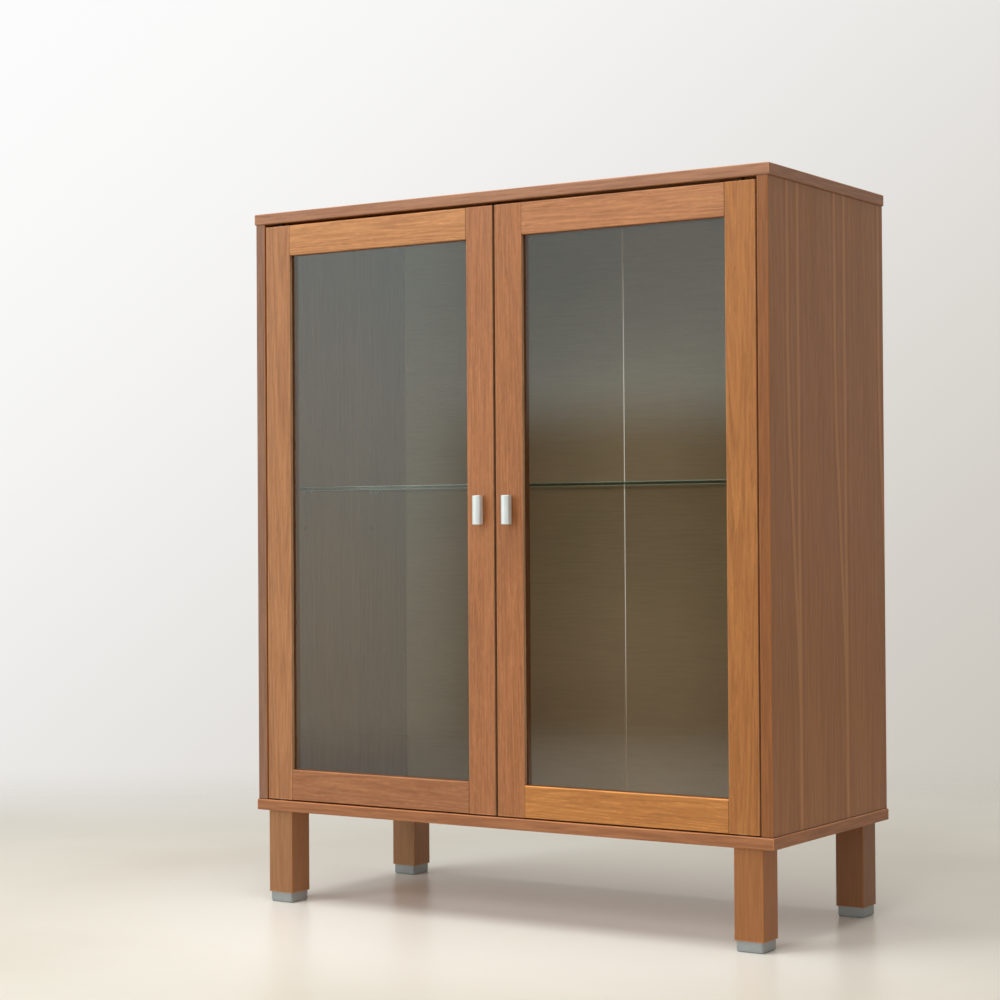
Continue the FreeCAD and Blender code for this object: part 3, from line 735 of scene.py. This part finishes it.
def dress_doors():
    """Frames, beads and panes of both doors."""
    glass = smoked_glass("smoked_glass")
    for order, (name, side) in enumerate(SIDES.items()):
        for number, board in enumerate(DOOR_CUTS):
            seed = DOOR_SEED + DOOR_SEED_STEP * order + DOOR_BOARD_SEED_STEP * number
            dress_door_board(name, side, board, seed)
        heart = (side * BEAD_HEART[0], BEAD_HEART[1])
        dress_board(f"{name}_glazing_beads", BEAD_TONE, "z", BEAD_SEED + side, heart)
        dress(glass, f"{name}_glass")


def dress_sides():
    """Veneered side panels, and back boards."""
    for order, (name, side) in enumerate(SIDES.items()):
        heart = (side * SIDE_HEART_X, LEAF_MIDDLE)
        seed = SIDE_SEED + SIDE_SEED_STEP * order
        finish = {"leaf_axis": "y", "face_axis": "x", "outward": side, "lip": SIDE_LIP_TONES[name]}
        cut = (SIDE_TONE, "z", seed, heart, SIDE_TIP, SIDE_CONTRAST)
        dress_board(f"{name}_side_panel", *cut, jointed=True, **finish)
        cut = (BACK_TONE, "x", BACK_SEED + order, BACK_HEART)
        dress_board(f"{name}_back_board", *cut, contrast=BACK_CONTRAST)


def dress_panels():
    """Veneered top and bottom panels."""
    for order, (name, lip) in enumerate(PANEL_LIP_TONES.items()):
        node = f"{name}_panel"
        heart = (LEAF_MIDDLE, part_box(node)[1].z)
        seed = PANEL_SEED + PANEL_SEED_STEP * order
        # The bottom panel gets a painted highlight along its upper edges
        finish = {"leaf_axis": "y", "face_axis": "z", "lip": lip, "crest": PANEL_PAINTED_HIGHLIGHT_SHARES[name]}
        dress_board(node, PANEL_TONE, "x", seed, heart, PANEL_TIP, **finish)


def dress_legs():
    """Legs and their foot caps."""
    cap = moulded("grey_cap")
    for order, (name, tone) in enumerate(LEG_TONES.items()):
        node = f"{name}_leg"
        low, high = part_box(node)
        heart = (low.x + LEG_HEART_X, high.y + LEG_HEART_Y)
        dress_board(node, tone, "z", LEG_SEED + LEG_SEED_STEP * order, heart, LEG_TIP, LEG_CONTRAST)
        dress(cap, f"{name}_foot_cap")


def dress_fittings():
    """Shelf, pulls, pivots, catch, pins, screws and dowels."""
    zinc = metal("zinc_steel")
    browned = metal("browned_steel")
    aluminium = metal("satin_aluminium")
    nylon = moulded("brown_nylon")
    cut = ("carcass_dowels", DOWEL_TONE, "z", DOWEL_SEED, DOWEL_HEART)
    dress(timber("beech_dowel", *cut), "carcass_dowels", "leg_dowels")
    cut = ("left_rail_dowels", DOWEL_TONE, "x", CROSS_DOWEL_SEED, DOWEL_HEART)
    cross_beech = timber("beech_cross_dowel", *cut)
    dress(shelf_glass("clear_glass"), "glass_shelf")
    dress(zinc, "back_screws", "leg_bolts", "catch_screws")
    dress(metal("nickel"), "shelf_pins")
    dress(metal("brass"), "leg_insert_nuts")
    dress(moulded("magnet"), "catch_magnets")
    dress(nylon, "catch_housing")
    for name in SIDES:
        dress(aluminium, f"{name}_handle")
        dress(zinc, f"{name}_strike_plate", f"{name}_strike_screw", f"{name}_handle_screws")
        dress(browned, f"{name}_top_pivot_pin", f"{name}_bottom_pivot_pin")
        dress(nylon, f"{name}_top_bush", f"{name}_bottom_bush", f"{name}_pivot_washer")
        dress(cross_beech, f"{name}_rail_dowels")


def new_object(name, data):
    """A new object in the scene."""
    made = bpy.data.objects.new(name, data)
    bpy.context.scene.collection.objects.link(made)
    return made


def new_piece(name, shape, made):
    """A new object from a bmesh, which is freed, and a material."""
    mesh = bpy.data.meshes.new(name)
    shape.to_mesh(mesh)
    shape.free()
    mesh.materials.append(made)
    return new_object(name, mesh)


# Cross recesses in the screw heads, dark with painted shade: shares of a head's width, and depths
RECESS_REACH_SHARE = 0.3
RECESS_HALF_WIDTH_SHARE = 0.075
RECESS_TIP_SHARE = 0.7
RECESS_PROUD = 0.00005
RECESS_DEPTH = 0.0004
WELD = 0.000001


def solids_of(node):
    """Lowest and highest corners of every separate solid in a node."""
    shape = bmesh.new()
    shape.from_mesh(frame["nodes"][node].data)
    bmesh.ops.remove_doubles(shape, verts=shape.verts, dist=WELD)
    seen = set()
    boxes = []
    for start in shape.verts:
        if start in seen:
            continue
        seen.add(start)
        group = [start]
        for vertex in group:
            beside = [edge.other_vert(vertex) for edge in vertex.link_edges]
            fresh = [other for other in beside if other not in seen]
            seen.update(fresh)
            group.extend(fresh)
        columns = list(zip(*(vertex.co for vertex in group)))
        boxes.append((Vector(map(min, columns)), Vector(map(max, columns))))
    shape.free()
    return boxes


def add_cross(shape, centre, turn, reach, half):
    """One cross recess: a plus with narrower tips, a little proud of the head and sunk into it."""
    rims = []
    for height in (RECESS_PROUD, -RECESS_DEPTH):
        rim = []
        for quarter in range(4):
            spin = Matrix.Rotation(quarter * math.pi / 2, 3, "Z")
            for x, y in ((reach, -RECESS_TIP_SHARE * half), (reach, RECESS_TIP_SHARE * half), (half, half)):
                rim.append(shape.verts.new(centre + turn @ spin @ Vector((x, y, height))))
        rims.append(rim)
    top, bottom = rims
    shape.faces.new(top)
    shape.faces.new(reversed(bottom))
    count = len(top)
    for index in range(count):
        following = (index + 1) % count
        shape.faces.new((top[following], top[index], bottom[index], bottom[following]))


def recesses(node, body, outward, made):
    """Cross recesses of all screws in a node, whose heads look outward."""
    way = Vector(outward)
    turn = way.to_track_quat("Z", "Y").to_matrix()
    shape = bmesh.new()
    for low, high in solids_of(node):
        half = (high - low) / 2
        width = min(half) * 2
        centre = (low + high) / 2 + way * abs(half.dot(way))
        add_cross(shape, centre, turn, RECESS_REACH_SHARE * width, RECESS_HALF_WIDTH_SHARE * width)
    piece = new_piece(f"{node}_recesses", shape, made)
    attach(piece, body)


def screw_recesses():
    """Recesses of every screw whose head can be seen, dark with painted shade."""
    made = moulded("painted_recess_shade")
    recesses("back_screws", "carcass", (0, 1, 0), made)
    recesses("catch_screws", "carcass", (0, 0, -1), made)
    for name in SIDES:
        recesses(f"{name}_handle_screws", f"{name}_door", (0, 1, 0), made)
        recesses(f"{name}_strike_screw", f"{name}_door", (0, 1, 0), made)


# Floor: painted light that makes it paler round the cabinet, and fading into the backdrop further out and
# behind
FLOOR_RADIUS = 7.0
FLOOR_SIDES = 96
FLOOR_REAR_WAY = (-0.547, 0.837, 0.0)
FLOOR_REAR_FADE = (0.45, 1.9)
FLOOR_FADE = (1.6, 3.5)
# Painted light: a paler floor near the cabinet, lifting the shade round it
FLOOR_PAINTED_LIGHT = srgb(254, 250, 241)
FLOOR_PAINTED_LIGHT_REACH = (0.3, 0.8)
FLOOR_TONE = srgb(237, 232, 219)
FLOOR_DEEP = srgb(229, 223, 209)
FLOOR_CLOUD_SCALE = 1.6
FLOOR_CLOUD_LIMITS = (0.35, 0.7)
FLOOR_ROUGHNESS = (0.28, 0.32)
FLOOR_SHEEN = 0.3


def floor_finish(name):
    """Pale floor, a little polished, with painted light near the cabinet, that fades into the backdrop."""
    made, graph = material(name)
    place = graph.place()
    reach = graph.length(place)
    cloud = graph.noise(place, FLOOR_CLOUD_SCALE, detail=4.0, roughness=0.55)
    colour = graph.mix(graph.span(cloud, *FLOOR_CLOUD_LIMITS), FLOOR_TONE, FLOOR_DEEP)
    solid = graph.principled(
        # Paler near the cabinet: painted light
        Base_Color=graph.mix(graph.span(reach, *FLOOR_PAINTED_LIGHT_REACH), FLOOR_PAINTED_LIGHT, colour),
        Roughness=graph.span(cloud, *NOISE_LIMITS, *FLOOR_ROUGHNESS),
        Specular_IOR_Level=FLOOR_SHEEN,
    )
    rear = graph.span(graph.dot(place, FLOOR_REAR_WAY), *FLOOR_REAR_FADE)
    fade = graph.math("MAXIMUM", graph.span(reach, *FLOOR_FADE), rear)
    graph.finish(graph.mix_shader(fade, solid, graph.node("ShaderNodeBsdfTransparent")))
    return made


def floor():
    """Round floor under the cabinet."""
    shape = bmesh.new()
    bmesh.ops.create_circle(shape, cap_ends=True, radius=FLOOR_RADIUS, segments=FLOOR_SIDES)
    plane = new_piece("floor", shape, floor_finish("floor"))


# Room light. Each way is a direction in the cabinet's frame, and each limit is the cosine of an angle to it.
# Backdrop for the camera: bright, and dimmer towards the lower right with painted shade
BACKDROP_BRIGHT = srgb(252, 252, 252)
BACKDROP_PAINTED_SHADE = srgb(199, 193, 183)
BACKDROP_WAY = (0.837, 0.547, -1.2)
BACKDROP_LIMITS = (-0.33, 0.33)
REAR_WAY = (0.1, 1.0, 0.0)
REAR_LIMITS = (-0.4, 0.5)
REAR_TONES = {"left": srgb(212, 207, 200), "right": srgb(220, 217, 210)}
FRONT_TONES = {"left": srgb(52, 52, 52), "right": srgb(118, 117, 116)}
RIGHT_WAY = (1.0, 0.0, 0.0)
RIGHT_LIMITS = (-0.6, 0.4)
ZENITH_TONE = srgb(112, 110, 107)
ZENITH_LIMITS = (0.2, 0.8)
LOW_TONE = srgb(104, 92, 78)
LOW_LIMITS = (-0.2, 0.06)
WINDOW_WAY = (-0.64, -0.76, 0.1)
WINDOW_LIMITS = (0.82, 0.9)
WINDOW_LEFT_WAY = (-0.829, 0.559, 0.0)
WINDOW_LEFT_LIMITS = (-0.03, 0.03)
WINDOW_SILL_LIMITS = (0.03, 0.068)
WINDOW_RISE_LIMITS = (-0.11, 0.125)
WINDOW_TONES = {"low": srgb(205, 208, 190), "high": srgb(228, 244, 242), "over": srgb(166, 190, 196)}
WINDOW_STRENGTH = 2.3


def room_colour(graph, way):
    """A pale room behind the cabinet and a dim one in front, with a dim ceiling and ground."""
    rise = graph.along(way, "z")
    right = graph.towards(way, RIGHT_WAY, RIGHT_LIMITS)
    rear = graph.mix(right, REAR_TONES["left"], REAR_TONES["right"])
    front = graph.mix(right, FRONT_TONES["left"], FRONT_TONES["right"])
    room = graph.mix(graph.towards(way, REAR_WAY, REAR_LIMITS), front, rear)
    room = graph.mix(graph.span(rise, *LOW_LIMITS), LOW_TONE, room)
    return graph.mix(graph.span(rise, *ZENITH_LIMITS), room, ZENITH_TONE)


def window_colour(graph, way):
    """Glow of a cool window at the front left. Its right part is dimmer and starts above a sill."""
    rise = graph.along(way, "z")
    pane = graph.mix(graph.span(rise, *WINDOW_RISE_LIMITS), WINDOW_TONES["low"], WINDOW_TONES["high"])
    over = graph.scaled(WINDOW_TONES["over"], graph.span(rise, *WINDOW_SILL_LIMITS))
    pane = graph.mix(graph.towards(way, WINDOW_LEFT_WAY, WINDOW_LEFT_LIMITS), over, pane)
    return graph.scaled(pane, graph.towards(way, WINDOW_WAY, WINDOW_LIMITS, 0.0, WINDOW_STRENGTH))


def world():
    """Light of the room and its window, and a backdrop for the camera, with painted shade towards its lower
    right.
    """
    made = bpy.data.worlds.new("room")
    bpy.context.scene.world = made
    graph = Graph(made)
    way = graph.node("ShaderNodeTexCoord").outputs["Generated"]
    room = graph.added(room_colour(graph, way), window_colour(graph, way))
    backdrop = graph.towards(way, BACKDROP_WAY, BACKDROP_LIMITS)
    backdrop = graph.mix(backdrop, BACKDROP_BRIGHT, BACKDROP_PAINTED_SHADE)
    seen = graph.node("ShaderNodeLightPath").outputs["Is Camera Ray"]
    shader = graph.node("ShaderNodeBackground", {"Color": graph.mix(seen, room, backdrop)})
    output = graph.node("ShaderNodeOutputWorld")
    graph.tree.links.new(shader.outputs[0], output.inputs["Surface"])


# Lamps: a soft key light at the front left, a wide fill at the front right, and a ceiling light.
# Each has its place, the point that it looks at, its width, its power in watts and its colour.
Lamp = namedtuple("Lamp", "place target size power colour")
LAMPS = {
    "key": Lamp((-1.9, -3.4, 2.5), (0.0, 0.0, 0.5), 1.1, 29.0, srgb(250, 249, 255)),
    "fill": Lamp((1.5, -3.3, 2.1), (0.0, 0.0, 0.5), 2.2, 19.0, srgb(255, 249, 246)),
    "ceiling": Lamp((-0.15, -0.7, 2.75), (-0.15, -0.7, 0.0), 2.1, 63.0, srgb(255, 254, 251)),
}


def lights():
    """Square soft lights."""
    for name, lamp in LAMPS.items():
        data = bpy.data.lights.new(name, "AREA")
        data.shape = "SQUARE"
        data.size = lamp.size
        data.energy = lamp.power
        data.color = lamp.colour[:3]
        made = new_object(name, data)
        made.location = lamp.place
        way = Vector(lamp.target) - Vector(lamp.place)
        made.rotation_euler = way.to_track_quat("-Z", "Y").to_euler()


# Camera: where it stands, its turn, tilt and roll in degrees, and its lens and sensor in millimetres
CAMERA_PLACE = (1.61743, -2.62297, 0.51993)
CAMERA_TURN = 33.20477
CAMERA_TILT = -0.6845
CAMERA_ROLL = -0.36474
CAMERA_LENS = 81.215
CAMERA_SENSOR = 36.0


def camera():
    """Camera at the photograph's place."""
    data = bpy.data.cameras.new("camera")
    data.lens = CAMERA_LENS
    data.sensor_width = CAMERA_SENSOR
    made = new_object("camera", data)
    turn = Matrix.Rotation(math.radians(CAMERA_TURN), 4, "Z")
    tilt = Matrix.Rotation(math.radians(90.0 - CAMERA_TILT), 4, "X")
    roll = Matrix.Rotation(math.radians(CAMERA_ROLL), 4, "Z")
    made.matrix_world = Matrix.Translation(CAMERA_PLACE) @ turn @ tilt @ roll
    bpy.context.scene.camera = made


dress_doors()
dress_sides()
dress_panels()
dress_legs()
dress_fittings()
screw_recesses()
floor()
world()
lights()
camera()
bpy.context.scene.view_settings.view_transform = "Standard"
